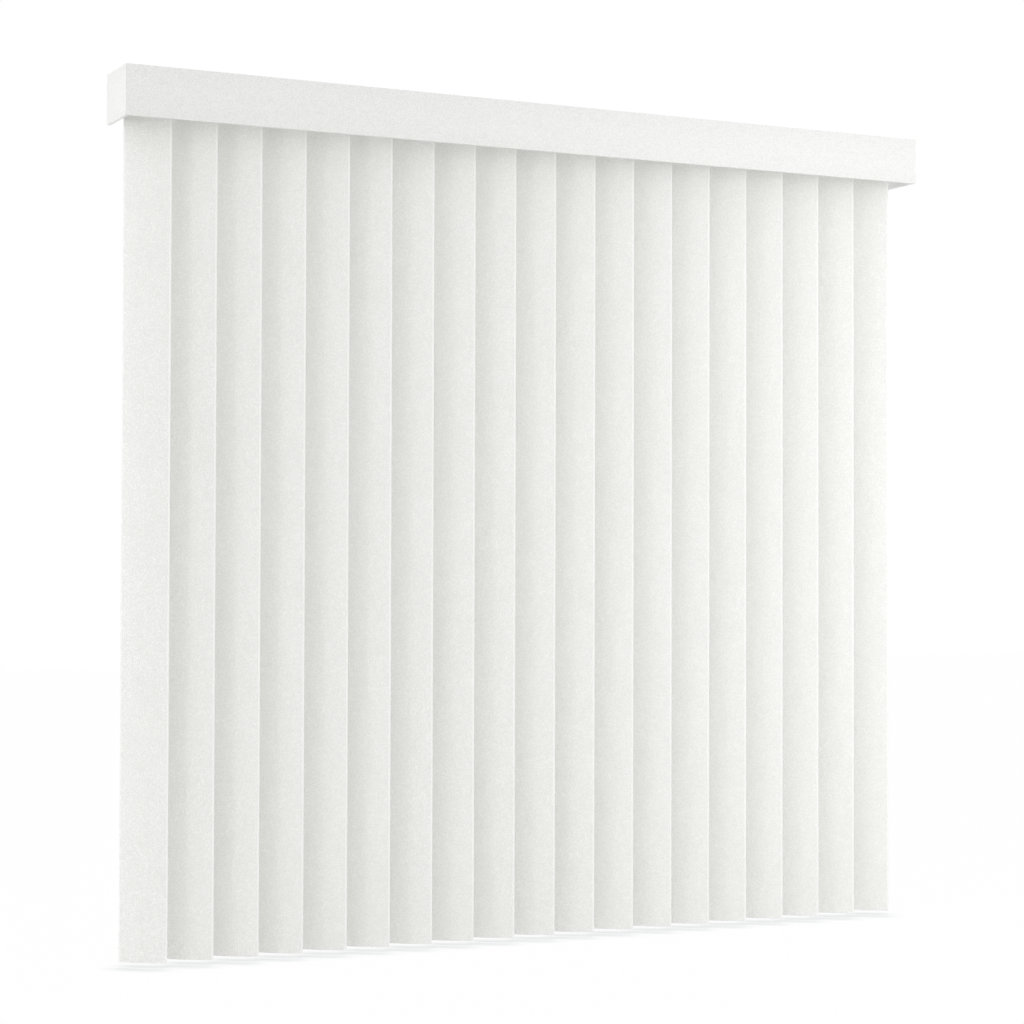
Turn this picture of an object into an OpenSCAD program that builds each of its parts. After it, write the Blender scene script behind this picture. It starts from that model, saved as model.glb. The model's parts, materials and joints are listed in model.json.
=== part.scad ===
// Vertical blind with a box valance: curved vanes on gliding carriers, tilted together by one rod.
// The wall is the plane Y = 0 and the room lies towards -Y. Z points up.
// The origin is midway between the two screw holes of the centre wall bracket.

/* [Vanes] */
// Number of vanes across the blind
vane_count = 19; // [17:1:19]
// Distance between neighbouring vane axes with the blind drawn
vane_pitch = 84; // [80:0.5:86]
// Straight width across a curved vane
vane_chord = 88; // [86:0.5:92]
// Rise of the curve across a vane
vane_sag = 5; // [3:0.25:6]
// Thickness of the vane strip
vane_t = 0.8; // [0.6:0.1:1.2]
// Length of a vane
vane_len = 1494; // [600:1:2400]
// Turn of the vanes away from the closed position
vane_tilt = 35; // [20:1:160]

/* [Valance] */
// Height of the valance board
valance_h = 88.9; // [80:0.1:110]
// Thickness of the valance board
valance_t = 7; // [5:0.5:9]
// Reach of the valance from the wall
valance_reach = 114.3; // [112:0.1:130]
// From the left face of the valance to the first vane axis
left_margin = 56; // [54:1:90]
// From the last vane axis to the right face of the valance
right_margin = 80; // [78:1:120]

/* [Headrail] */
// Distance of the vane axes from the wall
axis_from_wall = 55.3; // [52:0.1:58]
// Width of the headrail
rail_w = 42; // [40:0.5:44]
// Height of the headrail
rail_h = 32; // [32:0.5:36]
// Wall thickness of the headrail
rail_wall = 1.4; // [1:0.1:1.6]
// Width of the slot along the underside
rail_slot = 16; // [15:0.5:18]

/* [Tilt drive] */
// Diameter of the tilt rod
rod_d = 5; // [4:0.1:5]
// Teeth on the wheel at the top of each hanger
wheel_teeth = 16; // [12:1:24]
// Teeth on the drive wheel that turns the tilt rod
drive_teeth = 12; // [10:1:16]

/* [Wall brackets] */
// Distance of the outer brackets from the centre bracket
bracket_offset = 600; // [400:10:640]
// Width of a bracket strip
bracket_w = 28; // [24:1:36]
// Thickness of a bracket strip
bracket_t = 2.5; // [2:0.1:3]
// Distance between the two wall screw holes
screw_spacing = 20; // [18:1:24]
// Diameter of the wall screw holes
screw_hole_d = 4.5; // [4:0.1:5.5]

/* [Hidden] */

$fn = 48;
arc_fn = 256;
eps = 0.01;
over = 1;

white = "#f3f3ef";
ivory = "#e9e9e2";
steel = "#c9ccce";

// Places along the width
valance_w = (vane_count - 1) * vane_pitch + left_margin + right_margin;
first_x = -valance_w / 2 + left_margin;
rail_end_gap = 5;
cap_t = 3;
rail_len = valance_w - 2 * (valance_t + rail_end_gap + cap_t);
lead_offset = 28;
lead_x = vane_x(vane_count) + lead_offset;
bracket_xs = [-bracket_offset, 0, bracket_offset];
inner_clip_x = 0.4 * bracket_offset;
outer_clip_x = (bracket_offset + rail_len / 2) / 2;
valance_clip_xs = [-outer_clip_x, -inner_clip_x, inner_clip_x, outer_clip_x];

// Heights, from the bracket arm down
arm_top = 22;
clip_t = 1.5;
nut_gap = 3.5;
rail_top = arm_top - bracket_t - clip_t - nut_gap;
rail_bottom = rail_top - rail_h;
ledge_z = rail_bottom + rail_wall;
rail_ceiling = rail_top - rail_wall;
valance_top = 26;
valance_bottom = valance_top - valance_h;
vane_top = -35;

// Depths
axis_y = -axis_from_wall;
valance_inner_y = -valance_reach + valance_t;

// Headrail section
lip_reach = 2;
slot_rib_t = 1.2;
slot_rib_h = 2;

// Tilt drive
rod_r = rod_d / 2;
worm_root_r = 3.6;
worm_tip_r = 4.4;
wheel_tip_r = 5;
wheel_root_r = 3.9;
wheel_t = 5;
mesh_gap = 0.4;
rod_y = axis_y + worm_tip_r + wheel_tip_r + mesh_gap;
rod_height = 15;
rod_z = rail_bottom + rod_height;
rod_room = 0.3;
journal_room = 0.05;
cap_plug_l = 12;
rod_end_gap = 1;
flute_count = 4;
flute_r = 0.7;

// Carriers and spacer strips
carrier_l = 13;
lead_l = 22;
carrier_w = 32;
glide_gap = 0.1;
glide_h = 4;
roof_gap = 1.1;
rib_gap = 1;
carrier_top = rail_ceiling - roof_gap;
carrier_floor = ledge_z + slot_rib_h + rib_gap;
cavity_room = 0.4;
stem_r = 2.5;
worm_rings = 3;
stem_worm_l = 10;
window_w = 8;
window_h = 6;
window_roof = 1;
window_bottom = carrier_top - window_roof - window_h;
strip_w = 6;
strip_t = 0.4;
strip_slope = 3;
strip_start = -5;
strip_past = 9;
strip_lift = 0.7;
strip_z = window_bottom + strip_lift;
rivet_r = 0.8;
rivet_x = -3.5;
seat_gap = 0.05;

// Hangers and vanes
vane_r = (vane_chord * vane_chord / 4 + vane_sag * vane_sag) / (2 * vane_sag);
fork_w = 8;
fork_t = 5;
fork_h = 12;
fork_top = vane_top + fork_h;
vane_room = 0.5;
tine_gap = vane_t + 2 * vane_room;
head_gap = 1;
long_tine = 13;
short_tine = 5;
lug_w = 7;
lug_h = 2.5;
slot_w = 12;
slot_h = 4;
slot_below_top = 8;
slot_top = vane_top - slot_below_top;

// Valance track and clips
track_t = 1.5;
track_room = 2.1;
track_lip = 3;
track_rise = 6.5;
track_drop = 11.5;
track_top = rail_top + track_rise;
track_bottom = rail_top - track_drop;
track_end = 50;
clip_w = 20;
valance_clip_w = 25;
jaw_room = 0.1;
leg_room = 0.2;
corner_leg = 26;
corner_clip_t = 2;
corner_clip_h = 60;

// Clip fasteners
clip_screw_r = 2;
clip_hole_r = 2.25;
nut_across = 7;
nut_h = 3.2;
head_r = 3.6;
head_h = 2.4;

function two_digits(i) = str(i < 10 ? "0" : "", i);
function numbered(name, i) = str(name, "_", two_digits(i));
function vane_x(i) = first_x + (i - 1) * vane_pitch;

// Outline of a wheel with straight-flanked teeth
function tooth_points(tip_r, root_r, teeth) = [
    for (k = [0 : teeth - 1], s = [[-0.30, root_r], [-0.15, tip_r], [0.15, tip_r], [0.30, root_r]])
        let (a = (k + s[0]) * 360 / teeth) [s[1] * cos(a), s[1] * sin(a)]
];

// Runs a Y-Z section along X, centred on x, with the section's origin on the vane axis line
module along_x(x, length) {
    translate([x - length / 2, axis_y, 0])
        rotate([90, 0, 90])
            linear_extrude(height = length)
                children();
}

module box_section(y0, y1, z0, z1) {
    translate([y0, z0])
        square([y1 - y0, z1 - z0]);
}

module both_sides() {
    children();
    mirror([1, 0])
        children();
}

module x_cylinder(r, length) {
    rotate([0, 90, 0])
        cylinder(r = r, h = length, center = true);
}

// Headrail: one extrusion with clip lips at the top and a ribbed slot below
module headrail_section() {
    half = rail_w / 2;
    inner = half - rail_wall;
    difference() {
        box_section(-half, half, rail_bottom, rail_top);
        box_section(-inner, inner, ledge_z, rail_ceiling);
        box_section(-rail_slot / 2, rail_slot / 2, rail_bottom - over, ledge_z + over);
    }
    both_sides() {
        box_section(half - eps, half + lip_reach, rail_ceiling, rail_top);
        box_section(rail_slot / 2, rail_slot / 2 + slot_rib_t, ledge_z - eps, ledge_z + slot_rib_h);
    }
}

module headrail() {
    color(white)
        along_x(0, rail_len)
            headrail_section();
}

// End cap: flange outside the rail, plug inside it, with a blind bearing for the tilt rod
module end_cap(side) {
    flange_over = 0.6;
    plug_room = 0.1;
    plug_wall = 3;
    half = rail_w / 2;
    inner = half - rail_wall - plug_room;
    flange_x = side * (rail_len + cap_t) / 2;
    plug_x = side * (rail_len - cap_plug_l) / 2;
    difference() {
        union() {
            along_x(flange_x, cap_t)
                box_section(-half - lip_reach, half + lip_reach, rail_bottom - flange_over, rail_top);
            along_x(plug_x, cap_plug_l + eps)
                difference() {
                    box_section(-inner, inner, ledge_z + slot_rib_h + plug_room, rail_ceiling - plug_room);
                    box_section(-inner + plug_wall, rod_y - axis_y - 2 * plug_wall,
                        ledge_z + slot_rib_h + plug_wall, rail_ceiling - plug_wall);
                }
        }
        translate([side * (rail_len - cap_plug_l - rod_end_gap) / 2, rod_y, rod_z])
            x_cylinder(rod_r + journal_room, cap_plug_l - rod_end_gap + eps);
    }
}

// The tongue holds the carrier at the stacking end in place
module anchor_tongue() {
    tongue_w = 10;
    tongue_h = 3;
    tongue_out = -inner_half() + 1;
    tongue_start = -rail_len / 2 + cap_plug_l - eps;
    tongue_end = vane_x(1) - carrier_l / 2;
    along_x((tongue_start + tongue_end) / 2, tongue_end - tongue_start)
        box_section(tongue_out, tongue_out + tongue_w, rod_z - tongue_h, rod_z);
}

function inner_half() = rail_w / 2 - rail_wall;

module end_cap_left() {
    color(white)
        union() {
            end_cap(-1);
            anchor_tongue();
        }
}

module end_cap_right() {
    color(white)
        end_cap(1);
}

// Tilt rod: fluted along its length, with plain journals in the end caps
module tilt_rod() {
    rod_len = rail_len - 4 * rod_end_gap;
    journal_l = cap_plug_l;
    fluted_l = rod_len - 2 * journal_l;
    color(steel)
        translate([0, rod_y, rod_z])
            rotate([0, 90, 0]) {
                translate([0, 0, -fluted_l / 2])
                    linear_extrude(height = fluted_l)
                        difference() {
                            circle(r = rod_r);
                            for (k = [0 : flute_count - 1])
                                rotate(k * 360 / flute_count)
                                    translate([rod_r + flute_r / 2, 0])
                                        circle(r = flute_r);
                        }
                for (s = [-1, 1])
                    translate([0, 0, s * (fluted_l + journal_l) / 2])
                        cylinder(r = rod_r, h = journal_l + eps, center = true);
            }
}

// Half outline of a carrier, from its foot up: neck in the slot, glide shoe on the ledge, block above
function carrier_half() = let (
    neck_room = 0.5,
    rib_room = 0.8,
    wall_room = 0.6,
    neck = rail_slot / 2 - neck_room,
    shoe_in = rail_slot / 2 + slot_rib_t + rib_room,
    shoe_out = inner_half() - wall_room,
    shoe_bottom = ledge_z + glide_gap
) [
    [neck, rail_bottom + neck_room],
    [neck, carrier_floor],
    [shoe_in, carrier_floor],
    [shoe_in, shoe_bottom],
    [shoe_out, shoe_bottom],
    [shoe_out, shoe_bottom + glide_h],
    [carrier_w / 2, shoe_bottom + glide_h],
    [carrier_w / 2, carrier_top]
];

module carrier_section() {
    half = carrier_half();
    last = len(half) - 1;
    polygon(concat(half, [for (k = [0 : last]) [-half[last - k][0], half[last - k][1]]]));
}

// Window through which the spacer strips pass
module strip_window(length) {
    along_x(0, length + over)
        box_section(-window_w / 2, window_w / 2, window_bottom, window_bottom + window_h);
}

// Moulded recesses that thin the walls beside the strip window
module side_relief(length) {
    relief_w = 5;
    relief_lift = 1;
    end_wall = 2;
    along_x(0, length - 2 * end_wall)
        both_sides()
            box_section(carrier_w / 2 - relief_w, carrier_w / 2 + over,
                window_bottom + relief_lift, carrier_top + over);
}

module ringed_worm(length) {
    ring = length / worm_rings;
    rotate([0, 90, 0])
        translate([0, 0, -length / 2])
            rotate_extrude()
                polygon(concat(
                    [[0, 0]],
                    [for (k = [0 : worm_rings - 1], p = [[0.1, 0], [0.35, 1], [0.65, 1], [0.9, 0]])
                        [worm_root_r + p[1] * (worm_tip_r - worm_root_r), (k + p[0]) * ring]],
                    [[0, length]]
                ));
}

// Strip that sets the distance to the next carrier, held by a rivet on its own carrier
module spacer_strip(reach) {
    translate([0, axis_y, strip_z])
        rotate([0, -strip_slope, 0])
            difference() {
                translate([strip_start, -strip_w / 2, 0])
                    cube([reach - strip_start, strip_w, strip_t]);
                translate([rivet_x, 0, -over])
                    cylinder(r = rivet_r + seat_gap, h = strip_t + 2 * over);
            }
}

module strip_seat() {
    seat_l = 3.4;
    seat_t = 1.5;
    seat_hold = 1;
    rivet_root = 1;
    rivet_proud = 0.1;
    translate([0, axis_y, strip_z])
        rotate([0, -strip_slope, 0]) {
            translate([rivet_x - seat_l / 2, -window_w / 2 - seat_hold, -seat_t])
                cube([seat_l, window_w + 2 * seat_hold, seat_t - seat_gap]);
            translate([rivet_x, 0, -rivet_root])
                cylinder(r = rivet_r, h = rivet_root + strip_t + rivet_proud);
        }
}

// Carrier with its worm, drawn at X = 0
module carrier_body() {
    worm_l = 8;
    wall_gap = 0.5;
    difference() {
        along_x(0, carrier_l)
            carrier_section();
        strip_window(carrier_l);
        side_relief(carrier_l);
        translate([0, rod_y, rod_z])
            x_cylinder(worm_tip_r + cavity_room, worm_l);
        translate([0, axis_y, rod_z])
            cylinder(r = wheel_tip_r + cavity_room, h = wheel_t + 2 * cavity_room, center = true);
        translate([0, axis_y, rail_bottom])
            cylinder(r = stem_r + rod_room, h = rod_z - rail_bottom);
        translate([0, rod_y, rod_z])
            x_cylinder(rod_r + rod_room, carrier_l + over);
    }
    difference() {
        translate([0, rod_y, rod_z])
            ringed_worm(worm_l + wall_gap);
        translate([0, rod_y, rod_z])
            x_cylinder(rod_r + rod_room, carrier_l + over);
    }
    strip_seat();
}

module carrier(i) {
    reach = i < vane_count ? vane_pitch + strip_past : lead_offset + strip_past;
    color(ivory)
        translate([vane_x(i), 0, 0]) {
            carrier_body();
            spacer_strip(reach);
        }
}

// Lead carrier: closed gear housing that the wand stem turns in
module lead_carrier() {
    wheel_play = 1;
    wheel_room = wheel_t + 2 * cavity_room + wheel_play;
    worm_room = stem_worm_l + 2 * cavity_room;
    color(ivory)
        translate([lead_x, 0, 0])
            difference() {
                along_x(0, lead_l)
                    carrier_section();
                strip_window(lead_l);
                side_relief(lead_l);
                translate([0, rod_y, rod_z])
                    x_cylinder(wheel_tip_r + cavity_room, wheel_room);
                translate([0, rod_y, rod_z])
                    x_cylinder(rod_r + rod_room, lead_l + over);
                translate([0, axis_y, rod_z])
                    cylinder(r = worm_tip_r + cavity_room, h = worm_room, center = true);
                translate([0, axis_y, rail_bottom])
                    cylinder(r = stem_r + rod_room, h = rod_z - rail_bottom);
            }
}

// Wheel on the tilt rod inside the lead carrier
module drive_wheel() {
    color(ivory)
        translate([lead_x, rod_y, rod_z])
            rotate([0, 90, 0])
                difference() {
                    linear_extrude(height = wheel_t, center = true)
                        polygon(tooth_points(wheel_tip_r, wheel_root_r, drive_teeth));
                    cylinder(r = rod_r + rod_room, h = wheel_t + over, center = true);
                }
}

// Wand stem: four-start worm above, flattened end with a cross hole below
module wand_stem() {
    starts = 4;
    worm_turn = 120;
    worm_slices = 20;
    stem_drop = 15;
    stem_bottom = rail_bottom - stem_drop;
    flat_l = 9;
    flat_t = 3;
    wand_hole_r = 1.3;
    color(ivory)
        translate([lead_x, axis_y, 0])
            difference() {
                union() {
                    translate([0, 0, rod_z - stem_worm_l / 2])
                        linear_extrude(height = stem_worm_l, twist = worm_turn, slices = worm_slices)
                            polygon(tooth_points(worm_tip_r, worm_root_r, starts));
                    translate([0, 0, stem_bottom])
                        cylinder(r = stem_r, h = rod_z - stem_bottom);
                }
                for (s = [-1, 1])
                    translate([-stem_r - over, (s * (flat_t + stem_r) - stem_r) / 2, stem_bottom - over])
                        cube([2 * (stem_r + over), stem_r, flat_l + over]);
                translate([0, 0, stem_bottom + flat_l / 2])
                    rotate([90, 0, 0])
                        cylinder(r = wand_hole_r, h = 2 * stem_r, center = true);
            }
}

// Curved strip of a vane, drawn closed on the axis with its round side towards the room
module vane_strip() {
    reach = vane_chord / 2;
    wedge = 2 * vane_r;
    punch = 5;
    difference() {
        translate([0, vane_r, vane_top - vane_len])
            linear_extrude(height = vane_len)
                intersection() {
                    difference() {
                        circle(r = vane_r + vane_t / 2, $fn = arc_fn);
                        circle(r = vane_r - vane_t / 2, $fn = arc_fn);
                    }
                    polygon([
                        [0, 0],
                        [-wedge * reach / vane_r, -wedge * sqrt(1 - pow(reach / vane_r, 2))],
                        [wedge * reach / vane_r, -wedge * sqrt(1 - pow(reach / vane_r, 2))]
                    ]);
                }
        translate([-slot_w / 2, -punch, slot_top - slot_h])
            cube([slot_w, 2 * punch, slot_h]);
    }
}

// Hanger: toothed wheel in the carrier, stem through the slot, fork and lug that hold the vane
module hanger() {
    lug_top = slot_top - seat_gap;
    translate([0, 0, rod_z - wheel_t / 2])
        linear_extrude(height = wheel_t)
            polygon(tooth_points(wheel_tip_r, wheel_root_r, wheel_teeth));
    translate([0, 0, fork_top - over])
        cylinder(r = stem_r, h = rod_z - fork_top + over);
    translate([-fork_w / 2, -fork_t / 2, vane_top + head_gap])
        cube([fork_w, fork_t, fork_h - head_gap]);
    translate([-fork_w / 2, tine_gap / 2, vane_top - long_tine])
        cube([fork_w, (fork_t - tine_gap) / 2, long_tine + head_gap + over]);
    translate([-fork_w / 2, -fork_t / 2, vane_top - short_tine])
        cube([fork_w, (fork_t - tine_gap) / 2, short_tine + head_gap + over]);
    translate([-lug_w / 2, -fork_t / 2, lug_top - lug_h])
        cube([lug_w, fork_t, lug_h]);
}

module vane(i) {
    color(white)
        translate([vane_x(i), axis_y, 0])
            rotate([0, 0, -vane_tilt]) {
                vane_strip();
                hanger();
            }
}

// Valance front: board mitred at both ends, with a clip track along its back
module valance_front() {
    half = valance_w / 2;
    track_y = valance_inner_y - eps;
    track_out = track_room + track_t;
    color(white)
        union() {
            translate([0, 0, valance_bottom])
                linear_extrude(height = valance_h)
                    polygon([
                        [-half, -valance_reach],
                        [half, -valance_reach],
                        [half - valance_t, valance_inner_y],
                        [-half + valance_t, valance_inner_y]
                    ]);
            along_x(0, valance_w - 2 * track_end)
                translate([track_y - axis_y, 0]) {
                    box_section(0, track_out, track_top, track_top + track_t);
                    box_section(0, track_out, track_bottom - track_t, track_bottom);
                    box_section(track_room, track_out, track_top - track_lip, track_top + eps);
                    box_section(track_room, track_out, track_bottom - eps, track_bottom + track_lip);
                }
        }
}

module valance_return(side) {
    outer = side * valance_w / 2;
    inner = side * (valance_w / 2 - valance_t);
    translate([0, 0, valance_bottom])
        linear_extrude(height = valance_h)
            polygon([[outer, 0], [outer, -valance_reach], [inner, valance_inner_y], [inner, 0]]);
}

module valance_return_left() {
    color(white)
        valance_return(-1);
}

module valance_return_right() {
    color(white)
        valance_return(1);
}

// Corner clip: angle glued inside a valance corner, with a rounded inside edge
module corner_clip(side) {
    fillet = 4;
    corner_x = side * (valance_w / 2 - valance_t);
    translate([corner_x, valance_inner_y, valance_bottom + (valance_h - corner_clip_h) / 2])
        mirrored(side)
            linear_extrude(height = corner_clip_h) {
                translate([-corner_leg, 0])
                    square([corner_leg, corner_clip_t]);
                translate([-corner_clip_t, 0])
                    square([corner_clip_t, corner_leg]);
                translate([-corner_clip_t - fillet, corner_clip_t])
                    difference() {
                        square(fillet);
                        translate([0, fillet])
                            circle(r = fillet);
                    }
            }
}

module mirrored(side) {
    mirror([side < 0 ? 1 : 0, 0, 0])
        children();
}

module corner_clip_left() {
    color(ivory)
        corner_clip(-1);
}

module corner_clip_right() {
    color(ivory)
        corner_clip(1);
}

// Distance of a jaw's leg from the middle of the headrail
function jaw_leg() = rail_w / 2 + lip_reach + leg_room;

// Jaw that grips one top lip of the headrail, from above and below
module lip_jaw(leg_top) {
    lip_hold = 1;
    leg_in = jaw_leg();
    box_section(leg_in, leg_in + clip_t, rail_ceiling - jaw_room - clip_t, leg_top);
    box_section(rail_w / 2 + jaw_room, leg_in + eps,
        rail_ceiling - jaw_room - clip_t, rail_ceiling - jaw_room);
    box_section(rail_w / 2 - lip_hold, leg_in + eps, rail_top, rail_top + clip_t);
}

// Valance clips: snap on the front lip and slide in the valance's track
module valance_clips() {
    leg_out = jaw_leg() + clip_t;
    brace_l = 6;
    brace_h = 2;
    heel = 10;
    plate_y = valance_inner_y - axis_y;
    color(ivory)
        for (x = valance_clip_xs)
            along_x(x, valance_clip_w) {
                mirror([1, 0])
                    lip_jaw(rail_top + clip_t);
                box_section(plate_y + jaw_room, -heel, rail_top, rail_top + clip_t);
                box_section(plate_y + jaw_room, plate_y + track_room - jaw_room,
                    track_bottom + jaw_room, track_top - jaw_room);
                box_section(-leg_out - brace_l, -leg_out + eps, rail_top - brace_h, rail_top + eps);
            }
}

// Wall bracket: strip bent to a right angle, wall leg downwards, arm out over the headrail
module wall_bracket(x) {
    bend_in = 1.5;
    bend_out = bend_in + bracket_t;
    leg_bottom = -arm_top;
    arm_past = 12;
    arm_reach = axis_from_wall + arm_past;
    color(steel)
        difference() {
            along_x(x, bracket_w)
                translate([axis_from_wall, 0]) {
                    box_section(-bracket_t, 0, leg_bottom, arm_top - bend_out + eps);
                    box_section(-arm_reach, -bend_out + eps, arm_top - bracket_t, arm_top);
                    translate([-bend_out, arm_top - bend_out])
                        intersection() {
                            difference() {
                                circle(r = bend_out);
                                circle(r = bend_in);
                            }
                            square(bend_out);
                        }
                }
            for (s = [-1, 1])
                translate([x, 0, s * screw_spacing / 2])
                    rotate([90, 0, 0])
                        cylinder(d = screw_hole_d, h = 4 * bracket_t, center = true);
            translate([x, axis_y, arm_top - 2 * bracket_t])
                cylinder(r = clip_hole_r, h = 3 * bracket_t);
        }
}

module wall_bracket_left() {
    wall_bracket(bracket_xs[0]);
}

module wall_bracket_centre() {
    wall_bracket(bracket_xs[1]);
}

module wall_bracket_right() {
    wall_bracket(bracket_xs[2]);
}

// Rail clips: sprung saddles under the bracket arms that grip both top lips
module rail_clips() {
    saddle_bottom = arm_top - bracket_t - clip_t;
    half = jaw_leg() + clip_t;
    color(steel)
        for (x = bracket_xs)
            difference() {
                along_x(x, clip_w) {
                    box_section(-half, half, saddle_bottom, saddle_bottom + clip_t);
                    both_sides()
                        lip_jaw(saddle_bottom + eps);
                }
                translate([x, axis_y, saddle_bottom - over])
                    cylinder(r = clip_hole_r, h = clip_t + 2 * over);
            }
}

// Screws that hold the rail clips to the bracket arms
module clip_screws() {
    shank_short = 0.2;
    recess_l = 4;
    recess_w = 0.8;
    recess_d = 1.2;
    shank = bracket_t + clip_t + nut_h - shank_short;
    color(steel)
        for (x = bracket_xs)
            translate([x, axis_y, arm_top]) {
                difference() {
                    cylinder(r = head_r, h = head_h);
                    for (a = [0, 90])
                        rotate(a)
                            translate([-recess_l / 2, -recess_w / 2, head_h - recess_d])
                                cube([recess_l, recess_w, recess_d + over]);
                }
                translate([0, 0, -shank])
                    cylinder(r = clip_screw_r, h = shank + eps);
            }
}

module clip_nuts() {
    nut_room = 0.05;
    color(steel)
        for (x = bracket_xs)
            translate([x, axis_y, arm_top - bracket_t - clip_t - nut_h])
                difference() {
                    cylinder(d = nut_across / cos(30), h = nut_h, $fn = 6);
                    translate([0, 0, -over])
                        cylinder(r = clip_screw_r + nut_room, h = nut_h + 2 * over);
                }
}

headrail();
end_cap_left();
end_cap_right();
tilt_rod();
lead_carrier();
drive_wheel();
wand_stem();
valance_front();
valance_return_left();
valance_return_right();
corner_clip_left();
corner_clip_right();
valance_clips();
wall_bracket_left();
wall_bracket_centre();
wall_bracket_right();
rail_clips();
clip_screws();
clip_nuts();
for (i = [1 : vane_count]) {
    carrier(i);
    vane(i);
}
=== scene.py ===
"""Looks of a vertical blind with a box valance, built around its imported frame."""

import json
import logging
import math
from dataclasses import dataclass, field
from enum import Enum
from typing import Any, Iterable, Sequence

import bmesh
import bpy
from mathutils import Matrix, Vector


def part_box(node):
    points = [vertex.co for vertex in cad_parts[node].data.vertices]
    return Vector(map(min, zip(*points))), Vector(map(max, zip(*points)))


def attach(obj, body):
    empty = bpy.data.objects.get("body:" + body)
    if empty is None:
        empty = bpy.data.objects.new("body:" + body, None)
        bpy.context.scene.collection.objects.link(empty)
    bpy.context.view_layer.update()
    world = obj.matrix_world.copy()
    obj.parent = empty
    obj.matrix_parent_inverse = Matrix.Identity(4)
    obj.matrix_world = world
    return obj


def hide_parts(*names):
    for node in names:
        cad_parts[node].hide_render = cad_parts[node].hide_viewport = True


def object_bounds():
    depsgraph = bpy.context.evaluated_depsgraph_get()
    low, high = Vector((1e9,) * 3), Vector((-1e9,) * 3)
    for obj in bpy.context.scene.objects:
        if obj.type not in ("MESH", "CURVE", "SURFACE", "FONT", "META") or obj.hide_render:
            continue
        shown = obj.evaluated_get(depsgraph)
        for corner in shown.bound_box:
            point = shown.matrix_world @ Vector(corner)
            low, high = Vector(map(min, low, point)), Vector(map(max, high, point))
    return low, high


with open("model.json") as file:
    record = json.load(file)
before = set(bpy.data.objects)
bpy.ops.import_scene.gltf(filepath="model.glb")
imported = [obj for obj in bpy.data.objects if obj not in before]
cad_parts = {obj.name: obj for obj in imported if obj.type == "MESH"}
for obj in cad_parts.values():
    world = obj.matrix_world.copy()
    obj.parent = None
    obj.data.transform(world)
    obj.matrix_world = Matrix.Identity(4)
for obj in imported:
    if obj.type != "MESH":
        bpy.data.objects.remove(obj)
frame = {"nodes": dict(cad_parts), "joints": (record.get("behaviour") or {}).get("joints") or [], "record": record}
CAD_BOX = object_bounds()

log = logging.getLogger("blind")

Triple = tuple[float, float, float]
Span = tuple[float, float]

MM = 0.001
TOUCH = 1e-6
ROUND_PROFILE = 0.5
EDGE_SEGMENTS = 2
NOISE_MEAN = 0.5
NOISE_SPAN: Span = (0.3, 0.7)
WHITE: Triple = (1.0, 1.0, 1.0)


class Slot(Enum):
    """Material slots of the record."""

    VANE = "vane_pvc"
    VALANCE = "valance_pvc"
    ACETAL = "acetal"
    MOULDED = "moulded_plastic"
    ENAMEL = "rail_enamel"
    ROD = "rod_aluminium"
    ZINC = "zinc_steel"


class Side(Enum):
    """The two ends of the blind."""

    LEFT = "left"
    RIGHT = "right"


class Sock:
    """An output socket that Python operators turn into Math nodes."""

    def __init__(self, graph: "Graph", socket: Any) -> None:
        """Keeps the socket with the graph it belongs to."""
        self.graph = graph
        self.socket = socket

    def _math(self, operation: str, *values: Any) -> "Sock":
        """Adds one Math node.

        Args:
            operation: Blender's name of the operation.
            values: sockets or numbers, in the order of the node's inputs.

        Returns:
            The node's result.
        """
        return self.graph.node("ShaderNodeMath", {"operation": operation}, dict(enumerate(values)))

    def __add__(self, other: Any) -> "Sock":
        """self + other"""
        return self._math("ADD", self, other)

    def __radd__(self, other: Any) -> "Sock":
        """other + self"""
        return self._math("ADD", other, self)

    def __sub__(self, other: Any) -> "Sock":
        """self - other"""
        return self._math("SUBTRACT", self, other)

    def __rsub__(self, other: Any) -> "Sock":
        """other - self"""
        return self._math("SUBTRACT", other, self)

    def __mul__(self, other: Any) -> "Sock":
        """self * other"""
        return self._math("MULTIPLY", self, other)

    def __rmul__(self, other: Any) -> "Sock":
        """other * self"""
        return self._math("MULTIPLY", other, self)

    def __abs__(self) -> "Sock":
        """Distance from zero."""
        return self._math("ABSOLUTE", self)

    def clamp(self, low: float, high: float) -> "Sock":
        """Maps low to 0 and high to 1 on a smooth step, and holds the ends."""
        return self.graph.node(
            "ShaderNodeMapRange", {"clamp": True, "interpolation_type": "SMOOTHSTEP"},
            {"Value": self, "From Min": low, "From Max": high},
        )


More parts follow.
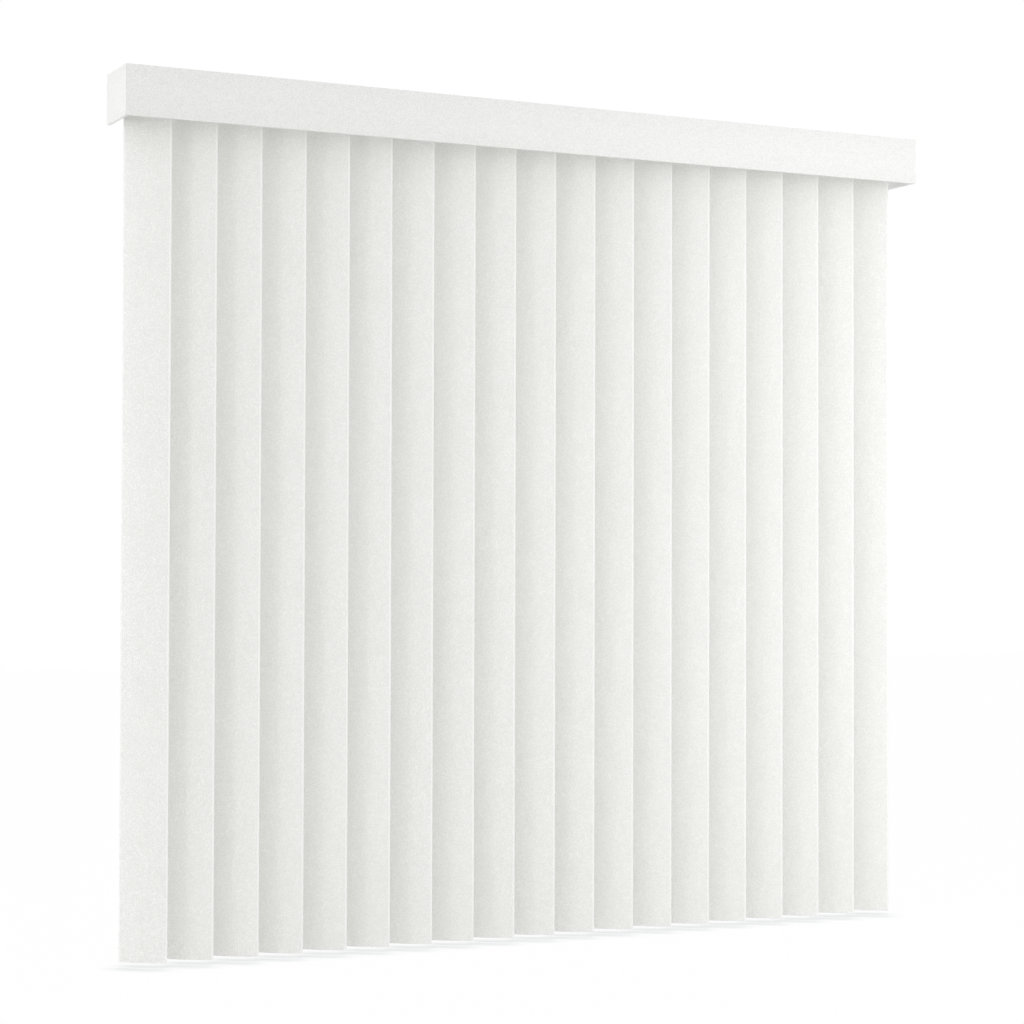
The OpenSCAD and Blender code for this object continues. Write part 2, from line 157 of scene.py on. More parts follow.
class Graph:
    """The node tree of a material or world, with one method that adds any node."""

    def __init__(self, owner: Any) -> None:
        """Empties the owner's tree.

        Args:
            owner: a material or world.
        """
        owner.use_nodes = True
        self.owner = owner
        self.tree = owner.node_tree
        self.tree.nodes.clear()

    @classmethod
    def material(cls, name: str) -> "Graph":
        """Starts a new material."""
        return cls(bpy.data.materials.new(name))

    def node(self, kind: str, settings: dict[str, Any] | None = None,
             inputs: dict[Any, Any] | None = None, output: Any = 0) -> Sock:
        """Adds a node.

        Args:
            kind: the node's type name.
            settings: attributes to set first.
            inputs: values or sockets for its inputs, by name or number.
            output: name or number of the output to return.

        Returns:
            The chosen output, which is empty on an output node.
        """
        made = self.tree.nodes.new(kind)
        for key, value in (settings or {}).items():
            setattr(made, key, value)
        for key, value in (inputs or {}).items():
            if isinstance(value, Sock):
                self.tree.links.new(value.socket, made.inputs[key])
            else:
                made.inputs[key].default_value = value
        return Sock(self, made.outputs[output] if len(made.outputs) else None)

    def place(self, scale: Sequence[float], turn: Sequence[float] = (0, 0, 0)) -> Sock:
        """Object coordinates, scaled and turned.

        Args:
            scale: pattern units per metre on each axis.
            turn: rotation in radians about each axis.

        Returns:
            The vector for a texture.
        """
        coords = self.node("ShaderNodeTexCoord", output="Object")
        return self.node("ShaderNodeMapping", {"vector_type": "POINT"},
                         {"Vector": coords, "Rotation": turn, "Scale": scale})

    def noise(self, vector: Sock, detail: float = 2.0, rough: float = 0.5,
              distort: float = 0.0) -> Sock:
        """A noise texture's value at unit scale."""
        return self.node("ShaderNodeTexNoise", {"noise_dimensions": "3D"},
                         {"Vector": vector, "Scale": 1.0, "Detail": detail,
                          "Roughness": rough, "Distortion": distort})

    def mix(self, factor: Sock, low: Sock | Triple, high: Sock | Triple) -> Sock:
        """Mixes two colours by a factor."""
        low, high = (c if isinstance(c, Sock) else (*c, 1.0) for c in (low, high))
        return self.node("ShaderNodeMix", {"data_type": "RGBA"},
                         {0: factor, 6: low, 7: high}, output=2)

    def bump(self, height: Sock, strength: float, distance: float) -> Sock:
        """A Bump node's normal."""
        return self.node("ShaderNodeBump", None,
                         {"Height": height, "Strength": strength, "Distance": distance})

    def seen(self) -> Sock:
        """1 where a camera, mirror or clear ray arrives, otherwise 0."""
        camera, glossy, clear = (self.node("ShaderNodeLightPath", output=f"Is {kind} Ray")
                                 for kind in ("Camera", "Glossy", "Transmission"))
        return (camera + glossy + clear).clamp(0.0, 1.0)

    def surface(self, **inputs: Any) -> bpy.types.Material:
        """Ends the tree in a Principled shader.

        Args:
            inputs: its sockets, with spaces as underscores.

        Returns:
            The finished material.
        """
        named = {key.replace("_", " "): value for key, value in inputs.items()}
        shader = self.node("ShaderNodeBsdfPrincipled", None, named)
        self.node("ShaderNodeOutputMaterial", None, {"Surface": shader})
        return self.owner


@dataclass(frozen=True)
class EmbossedVinyl:
    """White vinyl rolled with short wandering wrinkles, with painted shade in the wrinkle grooves and a painted
    highlight along both edges.
    """

    name: str = "embossed_vinyl"
    face: Triple = (0.94, 0.944, 0.92)
    # painted shade: the darker colour in the wrinkle grooves
    groove_shade: Triple = (0.842, 0.846, 0.82)
    # painted highlight: the paler colour of a band along both rims of the vane
    edge_highlight: Triple = (0.956, 0.96, 0.942)
    edge_highlight_from: float = 0.925
    edge_highlight_blend: float = 0.02
    stroke: float = 2.4 * MM
    stretch: float = 0.66
    leans: Span = (0.5, -0.7)
    line: float = 0.1
    wander: float = 0.5
    gap_scale: float = 0.85
    gap_turn: float = 1.0
    gap_span: Span = (0.36, 0.5)
    cloud: Triple = (40.0, 40.0, 16.0)
    cloud_share: float = 0.15
    roughness: float = 0.5
    groove_rough: float = 0.14
    edge_highlight_polish: float = 0.1
    specular: float = 0.42
    relief: float = 0.6
    depth: float = 0.6 * MM

    def wrinkles(self, g: Graph, lean: float) -> Sock:
        """One layer of strokes.

        Args:
            g: the material's graph.
            lean: turn of the strokes in radians.

        Returns:
            0 in the middle of a stroke and 1 away from it.
        """
        per_metre = 1.0 / self.stroke
        along = g.place((per_metre, per_metre, per_metre * self.stretch), (lean, lean, lean))
        winding = g.noise(along, detail=1.0, distort=self.wander)
        near = abs(winding - NOISE_MEAN).clamp(0.0, self.line)
        gaps = g.place((self.gap_scale * per_metre,) * 3, (0.0, lean, self.gap_turn))
        unbroken = g.noise(gaps, detail=0.0).clamp(*self.gap_span)
        return 1 - (1 - near) * unbroken

    def material(self) -> bpy.types.Material:
        """Builds the node tree.

        Returns:
            The material.
        """
        g = Graph.material(self.name)
        first, second = (self.wrinkles(g, lean) for lean in self.leans)
        height = first * second
        cloudy = g.noise(g.place(self.cloud), detail=3.0).clamp(*NOISE_SPAN)
        # low height in the grooves picks the painted shade colour
        tone = (1 - self.cloud_share) * height + self.cloud_share * cloudy
        across = abs(g.node("ShaderNodeAttribute", {"attribute_name": "across"}, output="Fac"))
        # mask of the painted highlight band along both rims of the vane
        edge = across.clamp(self.edge_highlight_from, self.edge_highlight_from + self.edge_highlight_blend)
        colour = g.mix(edge, g.mix(tone, self.groove_shade, self.face), self.edge_highlight)
        rough = self.roughness + self.groove_rough * (1 - height) - self.edge_highlight_polish * edge
        return g.surface(Base_Color=colour, Roughness=rough, Specular_IOR_Level=self.specular,
                         Normal=g.bump(height, self.relief, self.depth))


@dataclass(frozen=True)
class BoardVinyl:
    """Extruded vinyl with a pebbled skin, as on the valance, with painted shade: the pits are darker in colour."""

    name: str = "board_vinyl"
    face: Triple = (0.853, 0.854, 0.836)
    # painted shade: the darker colour in the pits of the pebbled skin
    pit_shade: Triple = (0.76, 0.762, 0.742)
    pebble: float = 2.3 * MM
    pebble_rough: float = 0.6
    pebble_span: Span = (0.3, 0.62)
    draw: Triple = (2.5, 45.0, 45.0)
    draw_share: float = 0.06
    roughness: float = 0.46
    pit_rough: float = 0.12
    specular: float = 0.42
    relief: float = 0.5
    depth: float = 0.45 * MM

    def material(self) -> bpy.types.Material:
        """Builds the node tree.

        Returns:
            The material.
        """
        g = Graph.material(self.name)
        skin = g.noise(g.place((1.0 / self.pebble,) * 3), rough=self.pebble_rough)
        skin = skin.clamp(*self.pebble_span)
        drawn = g.noise(g.place(self.draw)).clamp(*NOISE_SPAN)
        tone = (1 - self.draw_share) * skin + self.draw_share * drawn
        # the pits, where the skin is low, take the painted shade colour
        return g.surface(Base_Color=g.mix(tone, self.pit_shade, self.face),
                         Roughness=self.roughness + self.pit_rough * (1 - skin),
                         Specular_IOR_Level=self.specular,
                         Normal=g.bump(skin, self.relief, self.depth))


@dataclass(frozen=True)
class MouldedPlastic:
    """Injection-moulded plastic with spark-eroded grain and faint flow marks."""

    name: str
    face: Triple
    shade: Triple
    roughness: float
    coat: float = 0.0
    grain: float = 0.5 * MM
    grain_share: float = 0.35
    grain_rough: float = 0.12
    flow: Triple = (90.0, 140.0, 60.0)
    flow_bend: float = 0.8
    relief: float = 0.25
    depth: float = 0.02 * MM

    def material(self) -> bpy.types.Material:
        """Builds the node tree.

        Returns:
            The material.
        """
        g = Graph.material(self.name)
        spark = g.noise(g.place((1.0 / self.grain,) * 3))
        flow = g.noise(g.place(self.flow), distort=self.flow_bend)
        tone = (self.grain_share * spark + (1 - self.grain_share) * flow).clamp(*NOISE_SPAN)
        return g.surface(Base_Color=g.mix(tone, self.shade, self.face),
                         Roughness=self.roughness + self.grain_rough * spark,
                         Coat_Weight=self.coat, Normal=g.bump(spark, self.relief, self.depth))


@dataclass(frozen=True)
class Enamel:
    """Baked white enamel on extruded aluminium, with orange peel and die lines lengthwise."""

    name: str = "baked_enamel"
    face: Triple = (0.89, 0.892, 0.88)
    shade: Triple = (0.86, 0.862, 0.848)
    roughness: float = 0.3
    die_rough: float = 0.1
    coat: float = 0.25
    peel: Triple = (420.0, 420.0, 420.0)
    die: Triple = (1.5, 900.0, 900.0)
    peel_tone: float = 0.5
    peel_height: float = 0.6
    relief: float = 0.2
    depth: float = 0.03 * MM

    def material(self) -> bpy.types.Material:
        """Builds the node tree.

        Returns:
            The material.
        """
        g = Graph.material(self.name)
        peel = g.noise(g.place(self.peel))
        die = g.noise(g.place(self.die))
        tone = (self.peel_tone * peel + (1 - self.peel_tone) * die).clamp(*NOISE_SPAN)
        height = self.peel_height * peel + (1 - self.peel_height) * die
        return g.surface(Base_Color=g.mix(tone, self.shade, self.face),
                         Roughness=self.roughness + self.die_rough * die, Coat_Weight=self.coat,
                         Normal=g.bump(height, self.relief, self.depth))


@dataclass(frozen=True)
class BareMetal:
    """Drawn or plated metal with fine marks and a mottled tone."""

    name: str
    face: Triple
    shade: Triple
    roughness: float
    marks: Triple
    mark_share: float = 0.5
    mark_rough: float = 0.2
    mottle: Triple = (160.0, 160.0, 160.0)
    mottle_bend: float = 0.5
    relief: float = 0.2
    depth: float = 0.02 * MM

    def material(self) -> bpy.types.Material:
        """Builds the node tree.

        Returns:
            The material.
        """
        g = Graph.material(self.name)
        lines = g.noise(g.place(self.marks), detail=3.0)
        mottle = g.noise(g.place(self.mottle), detail=3.0, distort=self.mottle_bend)
        tone = (self.mark_share * lines + (1 - self.mark_share) * mottle).clamp(*NOISE_SPAN)
        return g.surface(Base_Color=g.mix(tone, self.shade, self.face), Metallic=1.0,
                         Roughness=self.roughness + self.mark_rough * lines,
                         Normal=g.bump(lines, self.relief, self.depth))


@dataclass(frozen=True)
class WhiteSweep:
    """White floor that darkens where the vanes hang close above it."""

    name: str = "white_sweep"
    low: Triple = (0.86, 0.86, 0.86)
    high: Triple = (0.9, 0.9, 0.9)
    grain: Triple = (30.0, 30.0, 30.0)
    glow_share: float = 0.97
    shadow_reach: float = 50.0 * MM
    shadow_span: Span = (0.7, 0.97)
    shadow_tone: Triple = (0.79, 0.81, 0.81)
    shadow_samples: int = 4

    def material(self) -> bpy.types.Material:
        """Builds the node tree.

        Returns:
            The material.
        """
        g = Graph.material(self.name)
        colour = g.mix(g.noise(g.place(self.grain)), self.low, self.high)
        matt = g.node("ShaderNodeBsdfDiffuse", None, {"Color": colour})
        clear = g.node("ShaderNodeAmbientOcclusion", {"samples": self.shadow_samples},
                       {"Distance": self.shadow_reach}, output="AO")
        shade = g.mix(clear.clamp(*self.shadow_span), self.shadow_tone, WHITE)
        white = g.node("ShaderNodeEmission", None, {"Color": shade, "Strength": 1.0})
        shown = g.node("ShaderNodeMixShader", None,
                       {0: g.seen() * self.glow_share, 1: matt, 2: white})
        g.node("ShaderNodeOutputMaterial", None, {"Surface": shown})
        return g.owner


@dataclass(frozen=True)
class Palette:
    """The finishes of the blind, one for each slot."""

    finishes: dict[Slot, Any] = field(default_factory=lambda: {
        Slot.VANE: EmbossedVinyl(),
        Slot.VALANCE: BoardVinyl(),
        Slot.ACETAL: MouldedPlastic("acetal", face=(0.86, 0.86, 0.83), shade=(0.82, 0.82, 0.785),
                                    roughness=0.28, coat=0.15),
        Slot.MOULDED: MouldedPlastic("cap_plastic", face=(0.88, 0.88, 0.86),
                                     shade=(0.85, 0.85, 0.825), roughness=0.42),
        Slot.ENAMEL: Enamel(),
        Slot.ROD: BareMetal("mill_aluminium", face=(0.80, 0.81, 0.82), shade=(0.66, 0.67, 0.69),
                            roughness=0.3, marks=(3.0, 1200.0, 1200.0)),
        Slot.ZINC: BareMetal("zinc_plate", face=(0.74, 0.75, 0.77), shade=(0.58, 0.60, 0.63),
                             roughness=0.34, marks=(500.0, 500.0, 40.0)),
    })

    def materials(self) -> dict[Slot, bpy.types.Material]:
        """Builds every finish once and returns the materials by slot."""
        return {slot: finish.material() for slot, finish in self.finishes.items()}


@dataclass
class Workshop:
    """Turns bmeshes into finished pieces of the blind, and dresses CAD nodes."""

    materials: dict[Slot, bpy.types.Material]
    sharp_angle: float = 32.0
    bevel_angle: float = 40.0

    def piece(self, name: str, bm: bmesh.types.BMesh, slot: Slot, body: str,
              nodes: Iterable[str] = ()) -> None:
        """Makes an object that rides on a body.

        Args:
            name: the piece's name.
            bm: its mesh, in the frame's coordinates; it is freed here.
            slot: the record's material slot.
            body: the body that carries it.
            nodes: the CAD nodes that it stands for.
        """
        bmesh.ops.recalc_face_normals(bm, faces=bm.faces[:])
        made = link_mesh(name, bm, self.materials[slot])
        mesh = made.data
        mesh.polygons.foreach_set("use_smooth", [True] * len(mesh.polygons))
        mesh.set_sharp_from_angle(angle=math.radians(self.sharp_angle))
        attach(made, body)
        for node in nodes:
            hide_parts(node)
        log.info("%s: %d faces on %s", name, len(mesh.polygons), body)

    def dress(self, node: str, slot: Slot, edge: float) -> None:
        """Gives a CAD node the material of a slot.

        Args:
            node: the node's name.
            slot: the record's material slot.
            edge: radius of its rounded edges, or 0 for none.
        """
        part = frame["nodes"][node]
        part.data.materials.clear()
        part.data.materials.append(self.materials[slot])
        if edge:
            weld = part.modifiers.new("weld", "WELD")
            weld.merge_threshold = TOUCH
            bevel = part.modifiers.new("soft_edges", "BEVEL")
            bevel.width = edge
            bevel.segments = EDGE_SEGMENTS
            bevel.profile = ROUND_PROFILE
            bevel.limit_method = "ANGLE"
            bevel.angle_limit = math.radians(self.bevel_angle)
        log.info("%s: dressed as %s", node, slot.value)


def link_mesh(name: str, bm: bmesh.types.BMesh, material: bpy.types.Material) -> bpy.types.Object:
    """Puts a bmesh into the scene as an object.

    Args:
        name: the object's name.
        bm: its mesh, which is freed here.
        material: its only material.

    Returns:
        The object.
    """
    mesh = bpy.data.meshes.new(name)
    bm.to_mesh(mesh)
    bm.free()
    mesh.materials.append(material)
    made = bpy.data.objects.new(name, mesh)
    bpy.context.scene.collection.objects.link(made)
    return made


def body_of(node: str) -> str:
    """The name of the body that holds a CAD node."""
    bodies = frame["record"]["behaviour"]["bodies"]
    return next(name for name, nodes in bodies.items() if node in nodes)


def corners(node: str) -> tuple[Vector, Vector]:
    """The lowest and highest corners of a CAD node."""
    low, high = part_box(node)
    return Vector(low), Vector(high)


def add_box(bm: bmesh.types.BMesh, low: Sequence[float], high: Sequence[float]) -> list[Any]:
    """Adds a box.

    Args:
        bm: the mesh to add to.
        low: its lowest corner.
        high: its highest corner.

    Returns:
        Its vertices.
    """
    low, high = Vector(low), Vector(high)
    place = Matrix.Translation((low + high) / 2) @ Matrix.Diagonal((*(high - low), 1.0))
    return bmesh.ops.create_cube(bm, size=1.0, matrix=place)["verts"]


def soften(bm: bmesh.types.BMesh, edges: Iterable[Any], radius: float) -> None:
    """Rounds edges with a small radius."""
    bmesh.ops.bevel(bm, geom=list(edges), offset=radius, offset_type="OFFSET", affect="EDGES",
                    segments=EDGE_SEGMENTS, profile=ROUND_PROFILE, material=-1, clamp_overlap=True)


def grow(bm: bmesh.types.BMesh, faces: list[Any], by: Sequence[float]) -> list[Any]:
    """Extrudes faces, and keeps the old ones.

    Args:
        bm: the mesh that holds them.
        faces: the faces to extrude.
        by: how far and which way.

    Returns:
        The new faces at the far end.
    """
    grown = bmesh.ops.extrude_face_region(bm, geom=faces, use_keep_orig=True)["geom"]
    verts = [g for g in grown if isinstance(g, bmesh.types.BMVert)]
    bmesh.ops.translate(bm, verts=verts, vec=by)
    return [g for g in grown if isinstance(g, bmesh.types.BMFace)]


def add_profile(bm: bmesh.types.BMesh, points: Iterable[Span], x0: float, x1: float) -> None:
    """Adds a closed bar along X.

    Args:
        bm: the mesh to add to.
        points: the corners of its section, as (y, z).
        x0: where it starts.
        x1: where it ends.
    """
    face = bm.faces.new([bm.verts.new((x0, y, z)) for y, z in points])
    grow(bm, [face], (x1 - x0, 0, 0))


@dataclass
class Vane:
    """One curved vane on its hanger.

    The strip and the hanger are drawn closed on the vane's axis, then turned to the frame's tilt.
    """

    node: str
    workshop: Workshop
    chord: float = 88.0 * MM
    sag: float = 5.0 * MM
    thickness: float = 0.8 * MM
    tilt: float = 35.0
    columns: int = 44
    rim_share: float = 0.999
    plumb_share: float = 0.9
    slot_columns: int = 6
    slot_below_top: float = 8.0 * MM
    slot_height: float = 4.0 * MM
    edge_radius: float = 0.3 * MM
    top: float = -35.0 * MM
    wheel_teeth: int = 16
    tooth_steps: int = 4
    gap_steps: tuple[int, int] = (2, 3)
    wheel_tip: float = 5.0 * MM
    wheel_root: float = 3.9 * MM
    wheel_thickness: float = 5.0 * MM
    stem_radius: float = 2.5 * MM
    stem_sides: int = 24
    fork_width: float = 8.0 * MM
    fork_thickness: float = 5.0 * MM
    fork_height: float = 12.0 * MM
    tine_gap: float = 1.8 * MM
    long_tine: float = 13.0 * MM
    short_tine: float = 5.0 * MM
    lug_width: float = 7.0 * MM
    lug_height: float = 2.5 * MM
    lug_play: float = 0.05 * MM
    roof_gap: float = 1.0 * MM
    root_depth: float = 0.6 * MM

    def __post_init__(self) -> None:
        """Reads the vane's place from the frame."""
        low, high = corners(self.node)
        joint = next(j for j in frame["joints"] if j["child"] == self.node)
        self.axis = Vector((*joint["pos_m"][:2], 0.0))
        self.bottom = low.z
        self.wheel_top = high.z
        self.radius = (self.chord ** 2 / 4 + self.sag ** 2) / (2 * self.sag)

    def build(self) -> None:
        """Makes both pieces and turns them to the tilt."""
        turn = Matrix.Rotation(-math.radians(self.tilt), 3, "Z")
        for name, slot, bm, nodes in (
            ("strip", Slot.VANE, self.strip(), (self.node,)),
            ("hanger", Slot.ACETAL, self.hanger(), ()),
        ):
            bmesh.ops.translate(bm, verts=bm.verts[:], vec=self.axis)
            bmesh.ops.rotate(bm, verts=bm.verts[:], cent=self.axis, matrix=turn)
            self.workshop.piece(f"{self.node}_{name}", bm, slot, self.node, nodes)

    def strip(self) -> bmesh.types.BMesh:
        """The curved strip with its punched slot.

        Returns:
            Its mesh, closed on the axis with the round side towards the room.
        """
        bm = bmesh.new()
        half = math.asin(self.chord / 2 / self.radius)
        start = Vector((math.sin(-half), -math.cos(-half), 0.0))
        rim = [bm.verts.new(start * (self.radius + s * self.thickness / 2)) for s in (-1, 1)]
        line = bm.edges.new(rim)
        bmesh.ops.spin(bm, geom=[*rim, line], cent=(0, 0, 0), axis=(0, 0, 1), dvec=(0, 0, 0),
                       angle=2 * half, steps=self.columns, use_merge=False, use_duplicate=False)
        bmesh.ops.translate(bm, verts=bm.verts[:], vec=(0, self.radius, self.bottom))
        slot_top = self.top - self.slot_below_top
        self.raise_faces(bm, (slot_top - self.slot_height, slot_top, self.top))
        self.punch(bm, slot_top)
        soften(bm, [e for e in bm.edges if self.on_rim(e)], self.edge_radius)
        across = bm.verts.layers.float.new("across")
        for vert in bm.verts:
            vert[across] = vert.co.x / (self.chord / 2)
        return bm

    def on_rim(self, edge: Any) -> bool:
        """Whether an edge runs up and down along the strip's left or right rim.

        Args:
            edge: an edge of the strip.

        Returns:
            True on the rim.
        """
        low, high = (v.co for v in edge.verts)
        upright = abs(low.z - high.z) > self.plumb_share * (low - high).length
        return upright and min(abs(low.x), abs(high.x)) > self.rim_share * self.chord / 2

    @staticmethod
    def raise_faces(bm: bmesh.types.BMesh, heights: Iterable[float]) -> None:
        """Extrudes the flat band of faces up through each height in turn.

        Args:
            bm: the mesh, which holds only the band.
            heights: the levels to stop at, from the lowest up.
        """
        top = bm.faces[:]
        for step, height in enumerate(heights):
            grown = grow(bm, top, (0, 0, height - top[0].verts[0].co.z))
            if step:
                bmesh.ops.delete(bm, geom=top, context="FACES_ONLY")
            top = grown

    def punch(self, bm: bmesh.types.BMesh, slot_top: float) -> None:
        """Opens the slot and closes its walls.

        Args:
            bm: the strip's mesh.
            slot_top: the slot's upper end.
        """
        reach = self.chord / self.columns * self.slot_columns / 2
        middle = slot_top - self.slot_height / 2
        inside = [f for f in bm.faces if abs(f.calc_center_median().x) < reach
                  and abs(f.calc_center_median().z - middle) < self.slot_height / 4]
        bmesh.ops.delete(bm, geom=inside, context="FACES")
        rims = [e for e in bm.edges if e.is_boundary]
        bmesh.ops.bridge_loops(bm, edges=rims)

    def hanger(self) -> bmesh.types.BMesh:
        """The hanger: fork with two tines, lug through the slot, stem and toothed wheel.

        Returns:
            Its mesh, drawn for a closed vane.
        """
        bm = bmesh.new()
        half_t, half_gap = self.fork_thickness / 2, self.tine_gap / 2
        fork_top, roof = self.top + self.fork_height, self.top + self.roof_gap
        back, front = self.top - self.long_tine, self.top - self.short_tine
        section = [(-half_t, fork_top), (half_t, fork_top), (half_t, back), (half_gap, back),
                   (half_gap, roof), (-half_gap, roof), (-half_gap, front), (-half_t, front)]
        add_profile(bm, section, -self.fork_width / 2, self.fork_width / 2)
        lug_top = self.top - self.slot_below_top - self.lug_play
        add_box(bm, (-self.lug_width / 2, -half_t, lug_top - self.lug_height),
                (self.lug_width / 2, half_gap + self.root_depth, lug_top))
        soften(bm, bm.edges[:], self.edge_radius)
        wheel_bottom = self.wheel_top - self.wheel_thickness
        bmesh.ops.create_cone(bm, cap_ends=True, segments=self.stem_sides,
                              radius1=self.stem_radius, radius2=self.stem_radius,
                              depth=wheel_bottom - fork_top + 2 * self.root_depth,
                              matrix=Matrix.Translation((0, 0, (fork_top + wheel_bottom) / 2)))
        self.wheel(bm, wheel_bottom)
        return bm

    def wheel(self, bm: bmesh.types.BMesh, bottom: float) -> None:
        """Adds the toothed wheel at the top of the stem.

        Args:
            bm: the hanger's mesh.
            bottom: the wheel's lower face.
        """
        sides = self.tooth_steps * self.wheel_teeth
        ring = bmesh.ops.create_circle(bm, cap_ends=True, segments=sides, radius=self.wheel_tip,
                                       matrix=Matrix.Translation((0, 0, bottom)))["verts"]
        for vert in ring:
            step = round(math.atan2(vert.co.y, vert.co.x) / math.tau * sides) % self.tooth_steps
            if step in self.gap_steps:
                vert.co.xy = vert.co.xy * (self.wheel_root / self.wheel_tip)
        disc = [f for f in bm.faces if all(v in ring for v in f.verts)]
        grow(bm, disc, (0, 0, self.wheel_thickness))


@dataclass
class Valance:
    """Front board and two returns, mitred at the corners."""

    workshop: Workshop
    thickness: float = 7.0 * MM
    edge_radius: float = 0.5 * MM
    track_reach: float = 3.6 * MM
    track_wall: float = 1.5 * MM
    track_lip: float = 3.0 * MM
    track_gap: float = 18.0 * MM
    track_top: float = 21.0 * MM
    track_end: float = 50.0 * MM
    root_depth: float = 1.0 * MM

    def build(self) -> None:
        """Makes the three boards."""
        self.front()
        for side in Side:
            self.side_board(side)

    def front(self) -> None:
        """The front board with the clip track on its back."""
        node = "valance_front"
        low, high = corners(node)
        inner = low.y + self.thickness
        bm = bmesh.new()
        for vert in add_box(bm, low, (high.x, inner, high.z)):
            if vert.co.y > low.y + self.thickness / 2:
                vert.co.x -= math.copysign(self.thickness, vert.co.x)
        soften(bm, bm.edges[:], self.edge_radius)
        for z, way in ((self.track_top, -1), (self.track_top - self.track_gap, 1)):
            self.rib(bm, low.x + self.track_end, high.x - self.track_end, inner, z, way)
        self.workshop.piece("valance_board", bm, Slot.VALANCE, body_of(node), (node,))

    def rib(self, bm: bmesh.types.BMesh, x0: float, x1: float, inner: float,
            z: float, way: int) -> None:
        """Adds one angled rib of the track.

        Args:
            bm: the board's mesh.
            x0: where the rib starts.
            x1: where the rib ends.
            inner: the board's back face.
            z: the face of the rib that the clip slides against.
            way: +1 if its lip turns up, -1 if down.
        """
        root, back = inner - self.root_depth, inner + self.track_reach
        lip, foot = z + way * self.track_lip, z - way * self.track_wall
        points = [(root, z), (back - self.track_wall, z), (back - self.track_wall, lip),
                  (back, lip), (back, foot), (root, foot)]
        add_profile(bm, points, x0, x1)

    def side_board(self, side: Side) -> None:
        """A return, mitred where it meets the front board.

        Args:
            side: the end of the blind that it closes.
        """
        node = f"valance_return_{side.value}"
        low, high = corners(node)
        inner_x = low.x if side is Side.RIGHT else high.x
        bm = bmesh.new()
        for vert in add_box(bm, low, high):
            if vert.co.y < (low.y + high.y) / 2 and abs(vert.co.x - inner_x) < TOUCH:
                vert.co.y += self.thickness
        soften(bm, bm.edges[:], self.edge_radius)
        name = f"valance_board_return_{side.value}"
        self.workshop.piece(name, bm, Slot.VALANCE, body_of(node), (node,))


@dataclass
class Works:
    """Headrail, carriers, drive, clips and brackets, kept as the frame draws them."""

    workshop: Workshop
    rebuilt: tuple[str, ...] = ("vane_", "valance_front", "valance_return")
    edges: dict[Slot, float] = field(default_factory=lambda: {
        Slot.ENAMEL: 0.25 * MM,
        Slot.MOULDED: 0.35 * MM,
    })

    def build(self) -> None:
        """Dresses every CAD node that no piece replaces."""
        for part in frame["record"]["subparts"]:
            node, slot = part["node"], Slot(part["material_slot"])
            if not node.startswith(self.rebuilt):
                self.workshop.dress(node, slot, self.edges.get(slot, 0.0))


@dataclass(frozen=True)
class Lamp:
    """A soft rectangular lamp, in metres and watts; without an aim it faces the middle."""

    name: str
    at: Triple
    size: Span
    power: float
    aim: Triple | None = None

    def hang(self) -> None:
        """Adds the lamp to the scene, turned to its aim."""
        low, high = (Vector(corner) for corner in CAD_BOX)
        aim = Vector(self.aim) if self.aim else (low + high) / 2
        data = bpy.data.lights.new(self.name, "AREA")
        data.shape = "RECTANGLE"
        data.size, data.size_y = self.size
        data.energy = self.power
        lamp = bpy.data.objects.new(self.name, data)
        lamp.location = self.at
        lamp.rotation_euler = (aim - Vector(self.at)).to_track_quat("-Z", "Y").to_euler()
        bpy.context.scene.collection.objects.link(lamp)
        log.info("%s: %.2f W", self.name, self.power)


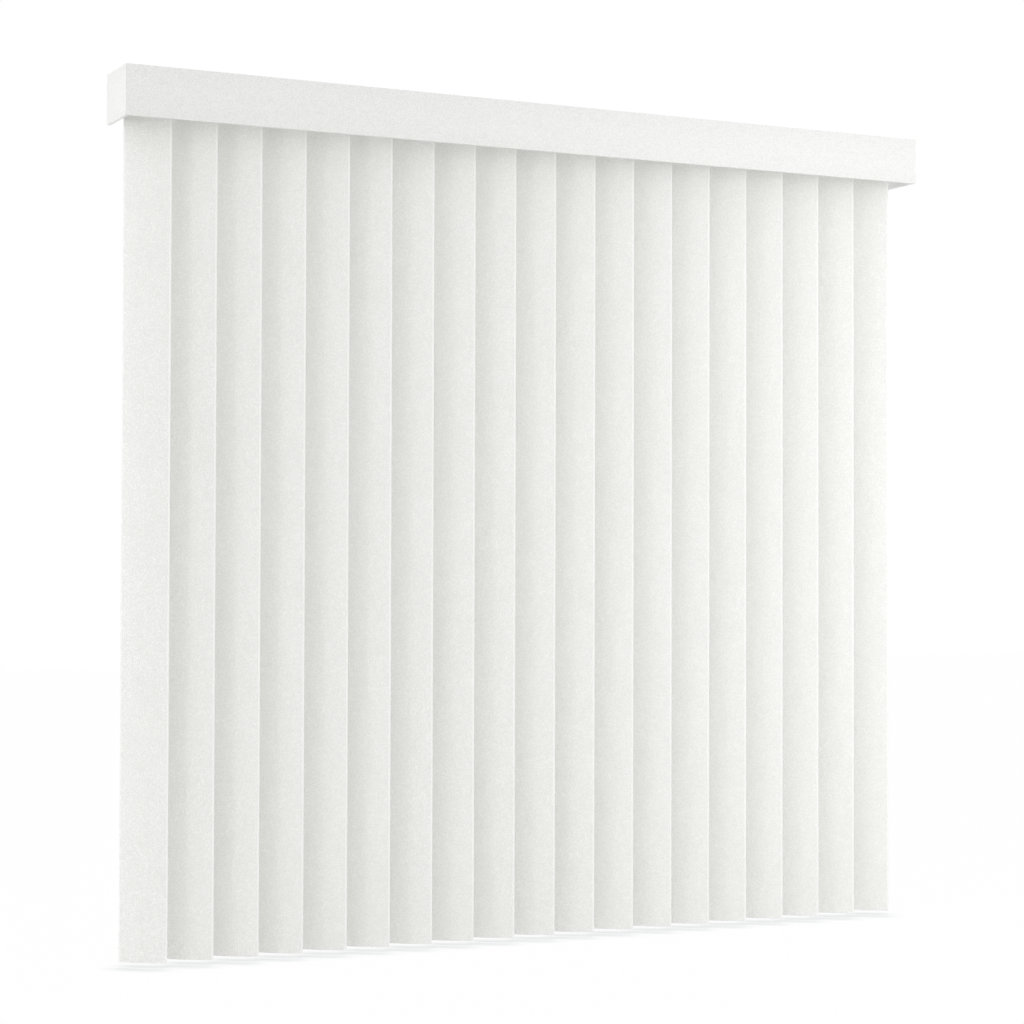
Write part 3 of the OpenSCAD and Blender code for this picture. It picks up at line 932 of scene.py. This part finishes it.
@dataclass
class Studio:
    """White floor and surround, soft lamps and the camera."""

    camera_at: Triple = (-2.0457, -4.1111, -0.8375)
    yaw: float = 26.157
    pitch: float = 1.286
    roll: float = 0.149
    lens: float = 84.72
    sensor: float = 36.0
    sight: float = 60.0
    floor_gap: float = 9.0 * MM
    floor_reach: float = 12.0
    room_strength: float = 0.965
    wall_strength: float = 0.78
    wall_span: Span = (0.0, 0.7)
    lamps: tuple[Lamp, ...] = (
        Lamp("left_key", (-2.55, -1.0, -0.7), (0.4, 1.6), 2.82),
        Lamp("left_rim", (-2.9, -0.2, -0.5), (0.8, 1.6), 1.3),
        Lamp("left_back", (-2.7, 1.1, 0.0), (0.8, 0.8), 9.0, aim=(-0.82, -0.06, -0.02)),
        Lamp("right_fill", (1.05, -1.35, -0.5), (1.0, 1.6), 6.0, aim=(0.7, -0.06, -0.75)),
    )

    def build(self) -> None:
        """Sets the camera, floor, world and lamps."""
        scene = bpy.context.scene
        scene.view_settings.view_transform = "Standard"
        self.camera(scene)
        self.floor()
        self.world(scene)
        for lamp in self.lamps:
            lamp.hang()

    def camera(self, scene: bpy.types.Scene) -> None:
        """Places the camera at the measured viewpoint.

        Args:
            scene: the scene that it is for.
        """
        data = bpy.data.cameras.new("viewpoint")
        data.lens = self.lens
        data.sensor_width = self.sensor
        data.sensor_fit = "HORIZONTAL"
        data.clip_end = self.sight
        camera = bpy.data.objects.new("viewpoint", data)
        turn = (Matrix.Rotation(-math.radians(self.yaw), 4, "Z")
                @ Matrix.Rotation(math.radians(90 + self.pitch), 4, "X")
                @ Matrix.Rotation(math.radians(self.roll), 4, "Z"))
        camera.matrix_world = Matrix.Translation(self.camera_at) @ turn
        scene.collection.objects.link(camera)
        scene.camera = camera

    def floor(self) -> None:
        """A white floor just under the vanes, which shows the blind's faint shadow."""
        bm = bmesh.new()
        level = CAD_BOX[0][2] - self.floor_gap
        bmesh.ops.create_grid(bm, x_segments=1, y_segments=1, size=self.floor_reach,
                              matrix=Matrix.Translation((0, 0, level)))
        link_mesh("floor", bm, WhiteSweep().material())

    def world(self, scene: bpy.types.Scene) -> None:
        """A white surround, dimmer on the wall side, that is plain white to the camera.

        Args:
            scene: the scene that it surrounds.
        """
        scene.world = bpy.data.worlds.new("surround")
        g = Graph(scene.world)
        room, wall, white = (
            g.node("ShaderNodeBackground", None, {"Color": (*WHITE, 1.0), "Strength": strength})
            for strength in (self.room_strength, self.wall_strength, 1.0)
        )
        heading = g.node("ShaderNodeTexCoord", output="Generated")
        depth = g.node("ShaderNodeSeparateXYZ", None, {0: heading}, output="Y")
        behind = depth.clamp(*self.wall_span)
        soft = g.node("ShaderNodeMixShader", None, {0: behind, 1: room, 2: wall})
        shown = g.node("ShaderNodeMixShader", None, {0: g.seen(), 1: soft, 2: white})
        g.node("ShaderNodeOutputWorld", None, {"Surface": shown})


def main() -> None:
    """Builds the studio and dresses the blind."""
    logging.basicConfig(level=logging.INFO, format="%(name)s: %(message)s")
    workshop = Workshop(Palette().materials())
    Studio().build()
    Valance(workshop).build()
    for node in sorted(frame["nodes"]):
        if node.startswith("vane_"):
            Vane(node, workshop).build()
    Works(workshop).build()


if __name__ == "__main__":
    main()
